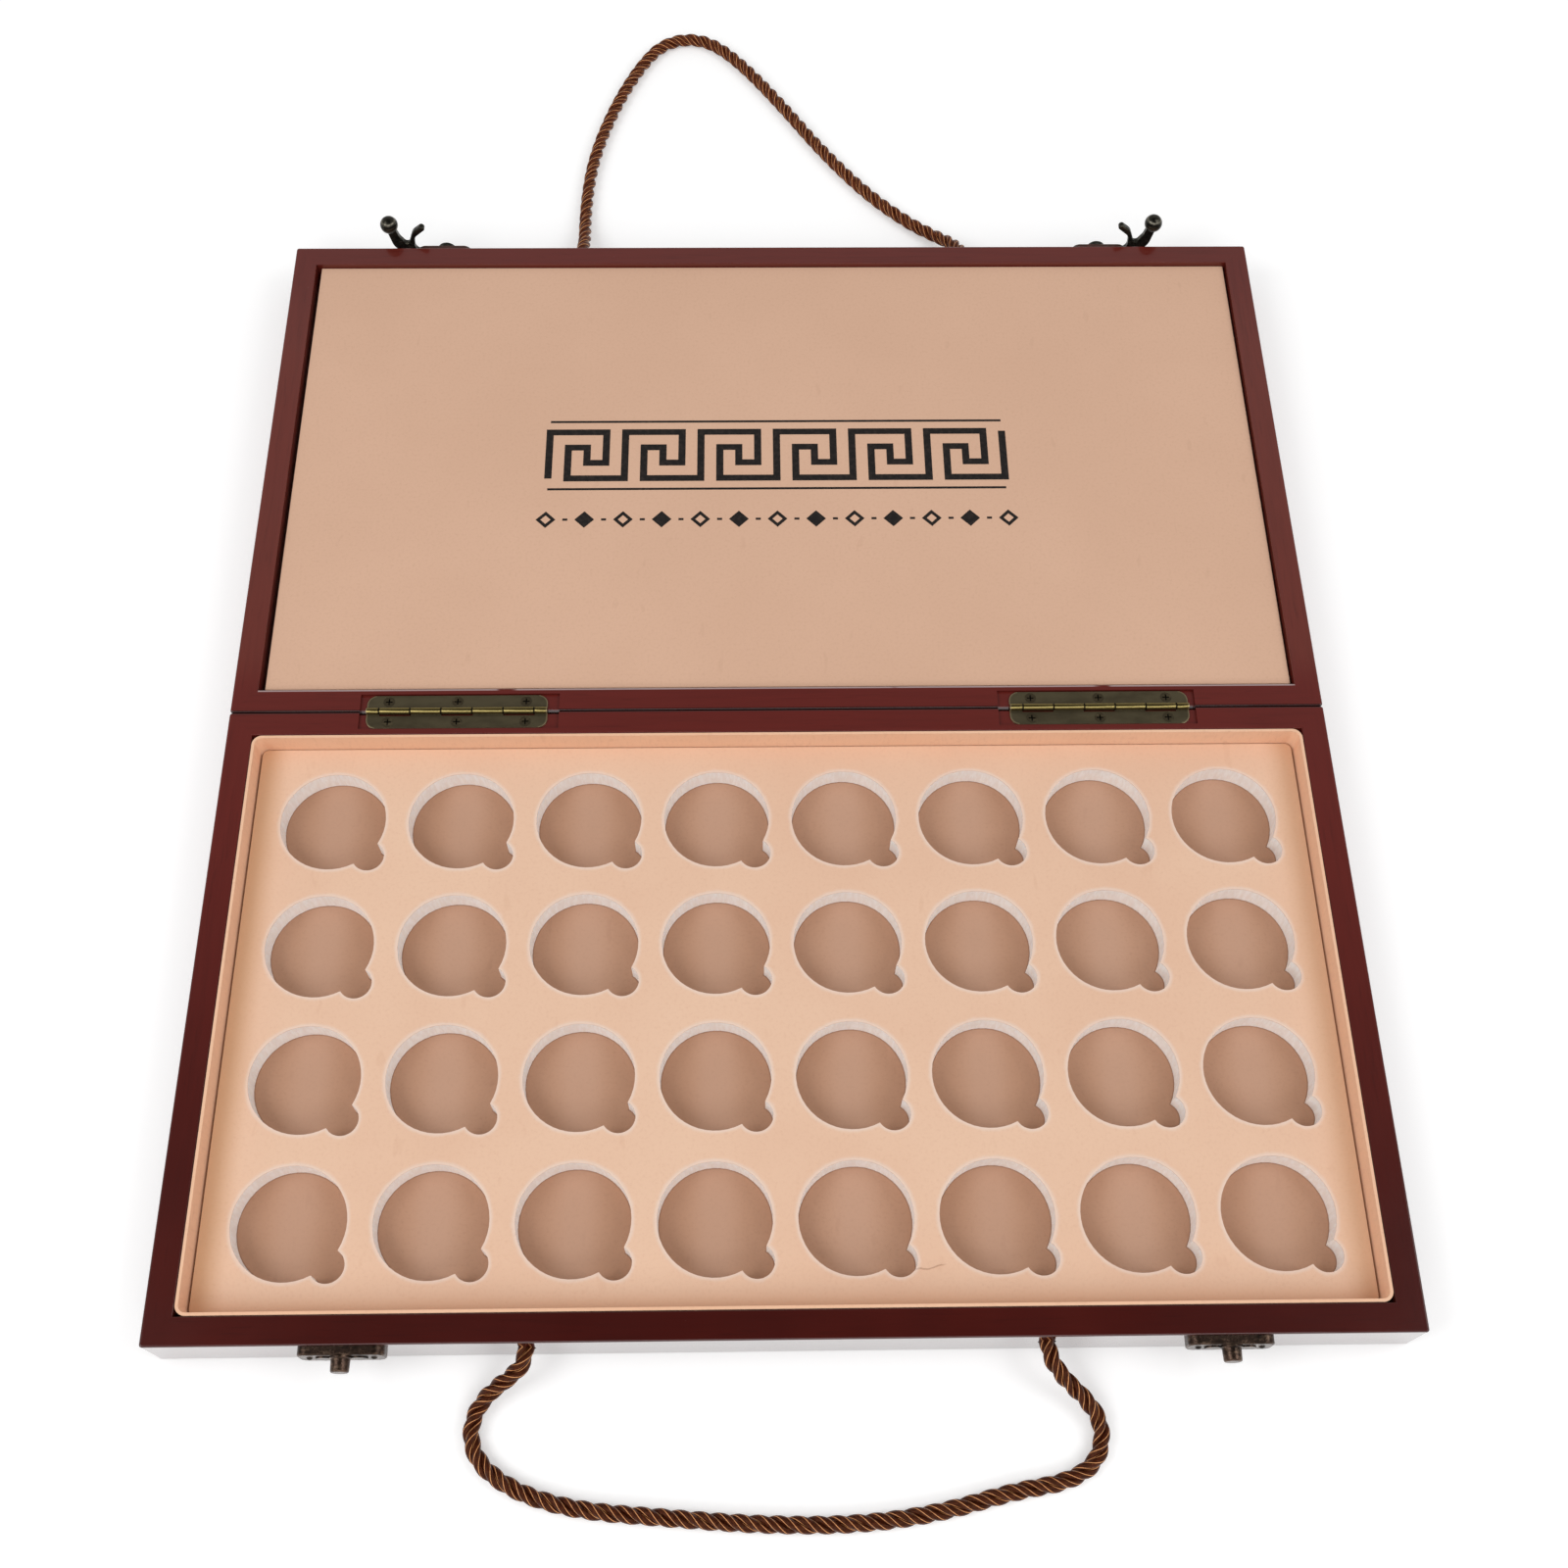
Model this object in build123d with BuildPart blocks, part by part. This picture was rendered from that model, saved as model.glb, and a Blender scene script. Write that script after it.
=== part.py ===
"""Folding xiangqi box: two shallow wooden halves on butt hinges, with a pocketed tray in one half.

All lengths are millimetres.  X runs along the hinge line, Y across it, Z up.  The origin is on the
floor under the hinge line.  The box lies open and flat: the base half is on the -Y side and the lid
half on the +Y side, both with their hollow side up.
"""
from build123d import *

import os
from math import cos, radians, sin, tan

# ---------------------------------------------------------------- driving dimensions: wooden halves
box_width = 480.0  # along the hinge line
half_depth = 268.0  # each half, from its joint face to its outer face
half_height = 26.0  # each half, from the floor to its rim
wall_t = 11.0  # lacquered frame walls
joint_gap = 0.3  # between the two joint faces when open
edge_round = 0.8  # outer arrises of the frame
corner_round = 1.2  # upright corners of the frame
inner_round = 0.4  # inner arris of the rim
board_t = 3.0  # playing board let into the outer face
board_rim = 5.0  # frame left showing round the board
board_gap = 0.1  # round the board in its rebate

# ---------------------------------------------------------------- driving dimensions: tray and lining
tray_gap = 0.3  # between tray and frame walls
tray_wall = 1.2  # paper-wrapped board
tray_floor = 1.6
tray_corner_r = 3.0
tray_drop = 0.2  # tray's top edge below the rim
platform_drop = 11.0  # pad's paper face below the rim
pad_gap_x = 1.0  # pad to tray wall, at the two ends
pad_gap_y = 0.4  # pad to tray wall, along the long sides
pad_cover_t = 0.4
strip_gap = 0.1  # between the foam strips of the pad, one for each column of pockets
pocket_r = 22.6  # for pieces 44 mm across
pocket_columns = 8
pocket_rows = 4
pocket_edge_x = 34.0  # first pocket's centre from the pad's end
pocket_edge_y = 34.85
notch_r = 6.8  # finger notch beside each pocket
notch_offset = 23.2  # notch centre from the pocket's centre
notch_angle = -45.0
liner_t = 2.0
liner_drop = 2.5  # liner face below the rim
liner_gap_left = 2.2
liner_gap_right = 1.0
liner_gap_joint = 1.6
liner_gap_far = 0.3
filler_inset = 1.0  # foam block inside the liner's edge

# ---------------------------------------------------------------- driving dimensions: hinges
hinge_inset = 99.0  # hinge centres from the ends of the box
hinge_length = 79.0
leaf_reach = 8.15  # leaf edge from the hinge axis
leaf_t = 0.8
leaf_sink = 0.5  # leaf face below the rim
leaf_corner_r = 4.4
barrel_r = 1.5
pin_r = 0.8
pin_gap = 0.04
knuckle_count = 7
end_knuckle = 5.5  # the two outermost knuckles are short
knuckle_gap = 0.3
notch_clearance = 0.4  # leaf edge to the other leaf's knuckles
axis_lift = 0.2  # hinge axis above the rim
mortise_reach = 8.6
mortise_inner_run = 5.1  # mortise beyond the leaf, towards the middle of the box
mortise_outer_run = 3.0
barrel_relief = 1.0  # chamfer under the barrel
screw_pitch = 30.0
screw_reach = 5.0  # screw axis from the hinge axis
screw_count = 3
screw_head_r = 2.5
screw_shank_r = 1.3
screw_length = 8.0
screw_point = 1.6
screw_slot_width = 0.6
screw_slot_length = 3.0
screw_slot_depth = 0.7
hole_gap = 0.05  # screws, nails, studs and rivets in their holes

# ---------------------------------------------------------------- driving dimensions: catches and latches
fitting_inset = 74.0  # catch and latch centres from the ends of the box
plate_drop = 0.5  # plates' top edges below the rim
plate_corner_r = 4.0
plate_bevel = 0.5
catch_plate_length = 32.5
catch_plate_height = 12.5
catch_plate_t = 3.4
catch_nail_x = 12.0
catch_boss_r = 4.2
catch_boss_t = 0.6
relief_t = 0.5  # cast leaves on the catch plate
relief_x = 6.4
relief_length = 6.8
relief_width = 6.0
latch_plate_length = 27.0
latch_plate_height = 14.0
latch_plate_t = 2.2
latch_nail_x = 10.2
nail_shank_r = 0.6
nail_head_r = 1.3
nail_head_t = 0.7
nail_length = 8.0
nail_point = 1.2
stud_drop = 4.7  # stud axis below the rim
stud_base_r = 4.1
stud_waist_r = 3.65
stud_tip_r = 3.45
stud_flare = 0.4  # length of the flared foot
stud_flare_r = 1.8
stud_length = 5.2  # beyond the plate's boss
stud_edge_r = 0.8
stud_tang_r = 1.5
stud_tang_length = 5.0  # beyond the plate, into the wall
pivot_drop = 8.7  # latch pivot below the rim
pivot_boss_r = 4.0
pivot_boss_t = 2.1  # carries the lever clear of the catch plate
rivet_r = 1.9
rivet_head_r = 4.2
rivet_head_t = 1.8
rivet_tail = 5.0  # beyond the plate, into the wall
lever_t = 3.2
lever_gap = 0.1  # lever to boss and to rivet head
lever_hub_r = 4.8
lever_round = 0.8
thumb_ball = (26.8, 16.8)  # from the pivot: outward along the wall, and towards the rim
thumb_ball_r = 4.4
thumb_ball_proud = 1.5  # ball centre beyond the lever's middle plane

# ---------------------------------------------------------------- driving dimensions: rope handles
cord_d = 6.6
cord_hole_inset = 142.0  # from the ends of the box
cord_hole_drop = 11.0  # below the rim
cord_hole_gap = 0.15
knot_r = 6.8
knot_t = 6.6
knot_edge_r = 2.6
knot_pocket_gap = 0.4
arc_share = 0.45  # of the shorter run that each arc of a cord may take up

# Rope routes outside the walls: across, out from the outer face, and height, for holes this far
# from the middle.
route_half_span = 98.0
base_cord_route = [
    (-98.0, 5.2, 15.0), (-104.8, 10.2, 10.8), (-112.2, 14.6, 6.6), (-117.5, 21.0, 4.0),
    (-119.2, 29.8, 3.3), (-115.7, 38.6, 3.3), (-107.4, 45.6, 3.3), (-95.0, 51.6, 3.3),
    (-76.0, 56.3, 3.3), (-47.0, 58.9, 3.3), (-12.0, 61.8, 3.3), (24.0, 62.4, 3.3),
    (55.0, 58.8, 3.3), (84.0, 51.4, 3.3), (101.7, 48.9, 3.3), (113.0, 43.7, 3.3),
    (117.8, 35.5, 3.5), (117.2, 26.1, 4.7), (111.5, 18.9, 7.1), (104.6, 13.4, 10.8),
    (98.0, 5.2, 15.0),
]
lid_cord_route = [
    (-98.0, 5.1, 15.0), (-97.4, 13.6, 11.5), (-97.4, 23.8, 7.0), (-98.0, 37.8, 3.8),
    (-97.6, 57.8, 3.3), (-95.6, 79.8, 3.3), (-90.2, 104.8, 3.3), (-81.4, 131.6, 3.3),
    (-71.2, 154.4, 3.3), (-60.5, 170.6, 3.3), (-45.6, 176.5, 3.3), (-30.3, 171.7, 3.3),
    (-13.4, 153.2, 3.3), (6.6, 123.8, 3.3), (27.6, 89.8, 3.3), (50.4, 59.0, 3.3),
    (71.4, 38.4, 3.3), (85.4, 27.6, 4.5), (94.2, 17.8, 9.0), (98.0, 5.6, 15.0),
]

# ---------------------------------------------------------------- worked out from the above
BASE = -1  # the side of the hinge line that each half lies on
LID = 1
SIDES = {"left": -1, "right": 1}

near_y = joint_gap / 2
far_y = near_y + half_depth
inner_near_y = near_y + wall_t
inner_far_y = far_y - wall_t
outer_x = box_width / 2
inner_x = outer_x - wall_t
middle_y = (near_y + far_y) / 2

hinge_x = outer_x - hinge_inset
fitting_x = outer_x - fitting_inset
cord_hole_x = outer_x - cord_hole_inset
cord_hole_z = half_height - cord_hole_drop

axis_z = half_height + axis_lift
leaf_top_z = half_height - leaf_sink
leaf_bottom_z = leaf_top_z - leaf_t
hinge_start = -hinge_length / 2

tray_bottom_z = board_t
tray_floor_z = tray_bottom_z + tray_floor
tray_top_z = half_height - tray_drop
tray_x = inner_x - tray_gap
tray_depth = inner_far_y - inner_near_y - 2 * tray_gap
platform_z = half_height - platform_drop
pad_width = 2 * (tray_x - tray_wall - pad_gap_x)
pad_depth = tray_depth - 2 * (tray_wall + pad_gap_y)
pocket_pitch_x = (pad_width - 2 * pocket_edge_x) / (pocket_columns - 1)
pocket_pitch_y = (pad_depth - 2 * pocket_edge_y) / (pocket_rows - 1)

stud_z = half_height - stud_drop
pivot_z = half_height - pivot_drop
catch_plate_z = half_height - plate_drop - catch_plate_height / 2
latch_plate_z = half_height - plate_drop - latch_plate_height / 2
catch_face = catch_plate_t + catch_boss_t  # distance out from the wall
boss_face = latch_plate_t + pivot_boss_t
lever_back = boss_face + lever_gap
lever_front = lever_back + lever_t
rivet_seat = lever_front + lever_gap

knot_pocket_depth = knot_t + knot_pocket_gap
cord_hole_r = cord_d / 2 + cord_hole_gap
knot_seat = wall_t - knot_pocket_depth  # wood left outside the knot

os.makedirs("parts", exist_ok=True)


def save(builder, name):
    """Label a finished sub-part and write it to its own STEP file."""
    builder.part.label = name
    export_step(builder.part, f"parts/{name}.step")


def face_plane(half, x, z, out=0.0):
    """Plane on the outer face of a half, normal pointing out of the box and local Y pointing up."""
    return Plane(origin=(x, half * (far_y + out), z), x_dir=(-half, 0, 0), z_dir=(0, half, 0))


def turning_plane(half, x, z):
    """Plane for turned fittings: local X is the radius and local Y is +Y, from the outer face."""
    return Plane(origin=(x, half * far_y, z))


def turning_axis(x, z):
    """Axis of a turned fitting that stands out of an outer face."""
    return Axis((x, 0, z), (0, 1, 0))


# ---------------------------------------------------------------- frame walls and boards
def board_recess(half, gap):
    """Outline of the board, or of its rebate when given a gap."""
    with Locations((0, half * middle_y)):
        Rectangle(box_width - 2 * board_rim + 2 * gap, half_depth - 2 * board_rim + 2 * gap)


def half_frame(half):
    """The whole frame of one half, with rounded arrises and the rebate for the board."""
    with BuildPart() as frame:
        with BuildSketch():
            with Locations((0, half * middle_y)):
                Rectangle(box_width, half_depth)
        extrude(amount=half_height)
        fillet(frame.edges().filter_by(Axis.Z), corner_round)
        top_and_bottom = frame.faces().filter_by(Axis.Z)
        fillet(top_and_bottom.edges(), edge_round)
        with BuildSketch():
            with Locations((0, half * middle_y)):
                Rectangle(2 * inner_x, inner_far_y - inner_near_y)
        extrude(amount=half_height, mode=Mode.SUBTRACT)
        rim = frame.faces().sort_by(Axis.Z)[-1]
        fillet(rim.inner_wires().edges(), inner_round)
        with BuildSketch():
            board_recess(half, board_gap)
        extrude(amount=board_t, mode=Mode.SUBTRACT)
    return frame.part


def mitre_wedge(side, half):
    """Plan of the ground that one wall takes up between its mitres."""
    x = outer_x + corner_round
    near = near_y - corner_round
    far = far_y + corner_round
    plans = {
        "front": [(-x, far), (x, far), (inner_x, inner_far_y), (-inner_x, inner_far_y)],
        "hinge": [(-x, near), (x, near), (inner_x, inner_near_y), (-inner_x, inner_near_y)],
        "left": [(-x, near), (-x, far), (-inner_x, inner_far_y), (-inner_x, inner_near_y)],
        "right": [(x, near), (x, far), (inner_x, inner_far_y), (inner_x, inner_near_y)],
    }
    return [(x, half * y) for x, y in plans[side]]


def frame_wall(side, half):
    """One mitred wall of a half's frame."""
    with BuildPart() as wall:
        add(half_frames[half])
        with BuildSketch():
            Polygon(*mitre_wedge(side, half), align=None)
        extrude(amount=half_height, mode=Mode.INTERSECT)
    return wall


def drill_cord_holes(half):
    """Two through holes, each with a pocket for the knot behind it."""
    for sign in SIDES.values():
        inside = face_plane(half, sign * cord_hole_x, cord_hole_z, -wall_t)
        with Locations(Plane(origin=inside.origin, z_dir=-inside.z_dir)):
            CounterBoreHole(cord_hole_r, knot_r + knot_pocket_gap, knot_pocket_depth, wall_t)


def drill_fitting_holes(half, nail_x, plate_z, post_z, post_r):
    """Blind holes for the nails of a half's two plates and for their stud or rivet."""
    for sign in SIDES.values():
        with Locations(face_plane(half, sign * fitting_x, plate_z)):
            with Locations((-nail_x, 0), (nail_x, 0)):
                Hole(nail_shank_r + hole_gap, depth=nail_length)
        with Locations(face_plane(half, sign * fitting_x, post_z)):
            Hole(post_r + hole_gap, depth=stud_tang_length)


def hinge_wall(half):
    """The wall at the joint, sunk for the hinge leaves and cleared under the barrels."""
    deep_z = leaf_bottom_z - barrel_relief
    with BuildPart() as wall:
        add(frame_wall("hinge", half).part)
        for sign in SIDES.values():
            ends = sorted(
                [
                    sign * (hinge_x - hinge_length / 2 - mortise_inner_run),
                    sign * (hinge_x + hinge_length / 2 + mortise_outer_run),
                ]
            )
            with BuildSketch(Plane.YZ.offset(ends[0])):
                Polygon(
                    (0, axis_z),
                    (half * mortise_reach, axis_z),
                    (half * mortise_reach, leaf_bottom_z),
                    (half * (near_y + barrel_relief), leaf_bottom_z),
                    (half * near_y, deep_z),
                    (0, deep_z),
                    align=None,
                )
            extrude(amount=ends[1] - ends[0], mode=Mode.SUBTRACT)
            with Locations(Plane.XY.offset(leaf_bottom_z)):
                with Locations(*screw_places(sign, half)):
                    CounterSinkHole(
                        screw_shank_r + hole_gap,
                        screw_head_r + hole_gap - leaf_t,
                        depth=screw_length,
                        counter_sink_angle=90,
                    )
    return wall


def screw_places(sign, half):
    """Plan positions of the screws in one leaf."""
    middle = (screw_count - 1) / 2
    return [
        (sign * hinge_x + (i - middle) * screw_pitch, half * screw_reach)
        for i in range(screw_count)
    ]


wooden_halves = (
    ("base", BASE, (catch_nail_x, catch_plate_z, stud_z, stud_tang_r)),
    ("lid", LID, (latch_nail_x, latch_plate_z, pivot_z, rivet_r)),
)
half_frames = {half: half_frame(half) for half in (BASE, LID)}
for prefix, half, fitting_holes in wooden_halves:
    front_wall = frame_wall("front", half)
    with front_wall:
        drill_cord_holes(half)
        drill_fitting_holes(half, *fitting_holes)
    save(front_wall, f"{prefix}_front_wall")

    save(hinge_wall(half), f"{prefix}_hinge_wall")

    for side in SIDES:
        save(frame_wall(side, half), f"{prefix}_{side}_wall")

    with BuildPart() as board:
        with BuildSketch():
            board_recess(half, 0)
        extrude(amount=board_t)
    save(board, f"{prefix}_board")


# ---------------------------------------------------------------- tray, pad and lid lining
with BuildPart() as tray_shell:
    with BuildSketch(Plane.XY.offset(tray_bottom_z)):
        with Locations((0, BASE * middle_y)):
            RectangleRounded(2 * tray_x, tray_depth, tray_corner_r + tray_wall)
    extrude(amount=tray_top_z - tray_bottom_z)
    with BuildSketch(Plane.XY.offset(tray_floor_z)):
        with Locations((0, BASE * middle_y)):
            RectangleRounded(
                2 * (tray_x - tray_wall), tray_depth - 2 * tray_wall, tray_corner_r
            )
    extrude(amount=tray_top_z - tray_floor_z, mode=Mode.SUBTRACT)
save(tray_shell, "tray_shell")


def pocket_sheet():
    """Plan of the pad: one round pocket and finger notch for each playing piece."""
    notch_x = notch_offset * cos(radians(notch_angle))
    notch_y = notch_offset * sin(radians(notch_angle))
    with Locations((0, BASE * middle_y)):
        RectangleRounded(pad_width, pad_depth, tray_corner_r)
        with GridLocations(pocket_pitch_x, pocket_pitch_y, pocket_columns, pocket_rows):
            Circle(pocket_r, mode=Mode.SUBTRACT)
            with Locations((notch_x, notch_y)):
                Circle(notch_r, mode=Mode.SUBTRACT)


with BuildPart() as pocket_pad:
    with BuildSketch(Plane.XY.offset(tray_floor_z)):
        pocket_sheet()
        with Locations((0, BASE * middle_y)):
            with GridLocations(pocket_pitch_x, 0, pocket_columns - 1, 1):
                Rectangle(strip_gap, pad_depth, mode=Mode.SUBTRACT)
    extrude(amount=platform_z - pad_cover_t - tray_floor_z)
save(pocket_pad, "pocket_pad")

with BuildPart() as pad_cover:
    with BuildSketch(Plane.XY.offset(platform_z - pad_cover_t)):
        pocket_sheet()
    extrude(amount=pad_cover_t)
save(pad_cover, "pad_cover")

liner_left = -inner_x + liner_gap_left
liner_right = inner_x - liner_gap_right
liner_near = inner_near_y + liner_gap_joint
liner_far = inner_far_y - liner_gap_far
liner_bottom_z = half_height - liner_drop - liner_t
liner_centre = ((liner_left + liner_right) / 2, (liner_near + liner_far) / 2)

with BuildPart() as lid_liner:
    with BuildSketch(Plane.XY.offset(liner_bottom_z)):
        with Locations(liner_centre):
            Rectangle(liner_right - liner_left, liner_far - liner_near)
    extrude(amount=liner_t)
save(lid_liner, "lid_liner")

with BuildPart() as lid_filler:
    with BuildSketch(Plane.XY.offset(board_t)):
        with Locations(liner_centre):
            Rectangle(
                liner_right - liner_left - 2 * filler_inset,
                liner_far - liner_near - 2 * filler_inset,
            )
    extrude(amount=liner_bottom_z - board_t)
save(lid_filler, "lid_filler")


# ---------------------------------------------------------------- butt hinges
middle_knuckle = (
    hinge_length - 2 * end_knuckle - (knuckle_count - 1) * knuckle_gap
) / (knuckle_count - 2)


def knuckle_spans(first):
    """Start and length of every second knuckle along the hinge, from the given one."""
    spans = []
    start = hinge_start
    for i in range(knuckle_count):
        length = end_knuckle if i in (0, knuckle_count - 1) else middle_knuckle
        if i % 2 == first:
            spans.append((start, length))
        start += length + knuckle_gap
    return spans


def hinge_leaf(sign, half):
    """A leaf with its knuckles; the base leaf has the two end knuckles."""
    own = 0 if half == BASE else 1
    centre = sign * hinge_x
    notch_depth = barrel_r + notch_clearance
    with BuildPart() as leaf:
        with BuildSketch(Plane.XY.offset(leaf_bottom_z)) as outline:
            with Locations((centre, half * leaf_reach / 2)):
                Rectangle(hinge_length, leaf_reach)
            outer_corners = outline.vertices().filter_by(
                lambda vertex: abs(vertex.Y) > leaf_reach / 2
            )
            fillet(outer_corners, leaf_corner_r)
            for start, length in knuckle_spans(1 - own):
                with Locations((centre + start + length / 2, half * notch_depth / 2)):
                    Rectangle(length + 2 * knuckle_gap, notch_depth, mode=Mode.SUBTRACT)
        extrude(amount=leaf_t)
        for start, length in knuckle_spans(own):
            with BuildSketch(Plane.YZ.offset(centre + start)):
                with Locations((0, axis_z)):
                    Circle(barrel_r)
            extrude(amount=length)
        with BuildSketch(Plane.YZ.offset(centre + hinge_start)):
            with Locations((0, axis_z)):
                Circle(pin_r + pin_gap)
        extrude(amount=hinge_length, mode=Mode.SUBTRACT)
        with Locations(Plane.XY.offset(leaf_top_z)):
            with Locations(*screw_places(sign, half)):
                CounterSinkHole(
                    screw_shank_r + hole_gap,
                    screw_head_r + hole_gap,
                    depth=leaf_t,
                    counter_sink_angle=90,
                )
    return leaf


def hinge_screws(half):
    """The countersunk wood screws that hold one half's two leaves."""
    places = [place for sign in SIDES.values() for place in screw_places(sign, half)]
    cone = screw_head_r - screw_shank_r
    with BuildPart() as screws:
        for x, y in places:
            with BuildSketch(Plane(origin=(x, y, leaf_top_z), x_dir=(1, 0, 0), z_dir=(0, -1, 0))):
                Polygon(
                    (0, 0),
                    (screw_head_r, 0),
                    (screw_shank_r, -cone),
                    (screw_shank_r, screw_point - screw_length),
                    (0, -screw_length),
                    align=None,
                )
            revolve(axis=Axis((x, y, 0), (0, 0, 1)))
        with BuildSketch(Plane.XY.offset(leaf_top_z - screw_slot_depth)):
            with Locations(*places):
                Rectangle(screw_slot_length, screw_slot_width)
                Rectangle(screw_slot_width, screw_slot_length)
        extrude(amount=screw_slot_depth, mode=Mode.SUBTRACT)
    return screws


for side, sign in SIDES.items():
    save(hinge_leaf(sign, BASE), f"{side}_hinge_base_leaf")
    save(hinge_leaf(sign, LID), f"{side}_hinge_lid_leaf")
    with BuildPart() as hinge_pin:
        with BuildSketch(Plane.YZ.offset(sign * hinge_x + hinge_start)):
            with Locations((0, axis_z)):
                Circle(pin_r)
        extrude(amount=hinge_length)
    save(hinge_pin, f"{side}_hinge_pin")

save(hinge_screws(BASE), "base_hinge_screws")
save(hinge_screws(LID), "lid_hinge_screws")


# ---------------------------------------------------------------- catches on the base
def fitting_plate(half, centre, size, nail_x, boss):
    """A cast plate with round corners, a bevelled outline, two nail holes and a round boss."""
    x, z = centre
    length, height, thickness = size
    boss_z, boss_r, boss_t, post_r = boss
    with BuildPart() as plate:
        with BuildSketch(face_plane(half, x, z)):
            RectangleRounded(length, height, plate_corner_r)
        extrude(amount=thickness)
        face = plate.faces().sort_by(lambda face: abs(face.center().Y))[-1]
        chamfer(face.outer_wire().edges(), plate_bevel)
        with BuildSketch(face_plane(half, x, boss_z, thickness)):
            Circle(boss_r)
        extrude(amount=boss_t)
        with Locations(face_plane(half, x, boss_z, thickness + boss_t)):
            Hole(post_r + hole_gap)
        with Locations(face_plane(half, x, z, thickness)):
            with Locations((-nail_x, 0), (nail_x, 0)):
                Hole(nail_shank_r + hole_gap)
    return plate


def catch_plate(sign):
    """Plate on the base's front face, with a cast leaf on each side of its stud."""
    x = sign * fitting_x
    plate = fitting_plate(
        BASE,
        (x, catch_plate_z),
        (catch_plate_length, catch_plate_height, catch_plate_t),
        catch_nail_x,
        (stud_z, catch_boss_r, catch_boss_t, stud_tang_r),
    )
    with BuildPart() as dressed_plate:
        add(plate.part)
        with BuildSketch(face_plane(BASE, x, catch_plate_z, catch_plate_t)):
            with Locations((-relief_x, 0), (relief_x, 0)):
                Ellipse(relief_length / 2, relief_width / 2)
        extrude(amount=relief_t)
        with Locations(face_plane(BASE, x, stud_z, catch_face)):
            Hole(stud_tang_r + hole_gap)
    return dressed_plate


def catch_stud(sign):
    """Turned stud with a flared foot and a rounded end, its tang driven through the plate."""
    x = sign * fitting_x
    tip = catch_face + stud_length
    foot_start = (stud_base_r, BASE * catch_face)
    foot_end = (stud_waist_r, BASE * (catch_face + stud_flare))
    with BuildPart() as stud:
        with BuildSketch(turning_plane(BASE, x, stud_z)) as section:
            with BuildLine():
                Polyline(
                    foot_end,
                    (stud_tip_r, BASE * tip),
                    (0, BASE * tip),
                    (0, -BASE * stud_tang_length),
                    (stud_tang_r, -BASE * stud_tang_length),
                    (stud_tang_r, BASE * catch_face),
                    foot_start,
                )
                RadiusArc(foot_start, foot_end, -stud_flare_r)
            make_face()
            fillet(section.vertices().group_by(Axis.Y)[0].sort_by(Axis.X)[-1], stud_edge_r)
        revolve(axis=turning_axis(x, stud_z))
    return stud


def plate_nails(half, nail_x, plate_z, plate_t):
    """The round-headed nails that hold one half's two plates."""
    top = half * (plate_t + nail_head_t)
    seat = half * plate_t
    end = half * (plate_t - nail_length)
    with BuildPart() as nails:
        for x in [sign * fitting_x + offset for sign in SIDES.values() for offset in (-nail_x, nail_x)]:
            with BuildSketch(turning_plane(half, x, plate_z)):
                with BuildLine():
                    Polyline(
                        (0, top),
                        (0, end),
                        (nail_shank_r, end + half * nail_point),
                        (nail_shank_r, seat),
                        (nail_head_r, seat),
                    )
                    TangentArc((0, top), (nail_head_r, seat), tangent=(1, 0))
                make_face()
            revolve(axis=turning_axis(x, plate_z))
    return nails


for side, sign in SIDES.items():
    save(catch_plate(sign), f"{side}_catch_plate")
    save(catch_stud(sign), f"{side}_catch_stud")
save(plate_nails(BASE, catch_nail_x, catch_plate_z, catch_plate_t), "catch_nails")


# ---------------------------------------------------------------- horn latches on the lid
def latch_plate(sign):
    """Plate on the lid's front face, with the boss that the lever turns on."""
    return fitting_plate(
        LID,
        (sign * fitting_x, latch_plate_z),
        (latch_plate_length, latch_plate_height, latch_plate_t),
        latch_nail_x,
        (pivot_z, pivot_boss_r, pivot_boss_t, rivet_r),
    )


def latch_rivet(sign):
    """Domed pivot rivet, fixed in the plate and the wall."""
    x = sign * fitting_x
    with BuildPart() as rivet:
        with BuildSketch(turning_plane(LID, x, pivot_z)):
            with BuildLine():
                Polyline(
                    (0, rivet_seat + rivet_head_t),
                    (0, -rivet_tail),
                    (rivet_r, -rivet_tail),
                    (rivet_r, rivet_seat),
                    (rivet_head_r, rivet_seat),
                )
                TangentArc(
                    (0, rivet_seat + rivet_head_t), (rivet_head_r, rivet_seat), tangent=(1, 0)
                )
            make_face()
        revolve(axis=turning_axis(x, pivot_z))
    return rivet


# Lever outline as straight runs with rounded corners: (x, y, corner radius), pivot at the origin.
# The hook's inner face stays further from the pivot than the far side of the stud.
hook_inside = [(-1.0, 2.4, 0.5), (8.0, 0.5, 5.0), (15.8, 1.0, 4.0), (14.9, 10.5, 5.0)]
hook_tip = [(8.4, 16.3, 1.4), (10.4, 18.5, 1.4)]
fork = [(15.4, 14.4, 6.0), (18.95, 5.0, 1.3), (22.3, 10.5, 6.0)]
thumb_neck = [(23.9, 17.0, 1.0), (28.2, 15.8, 1.0)]
shank_outside = [(26.4, 5.2, 8.0), (21.5, -1.6, 8.0), (9.0, -4.9, 12.0), (-1.0, -4.2, 0.5)]
lever_outline = hook_inside + hook_tip + fork + thumb_neck + shank_outside

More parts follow.
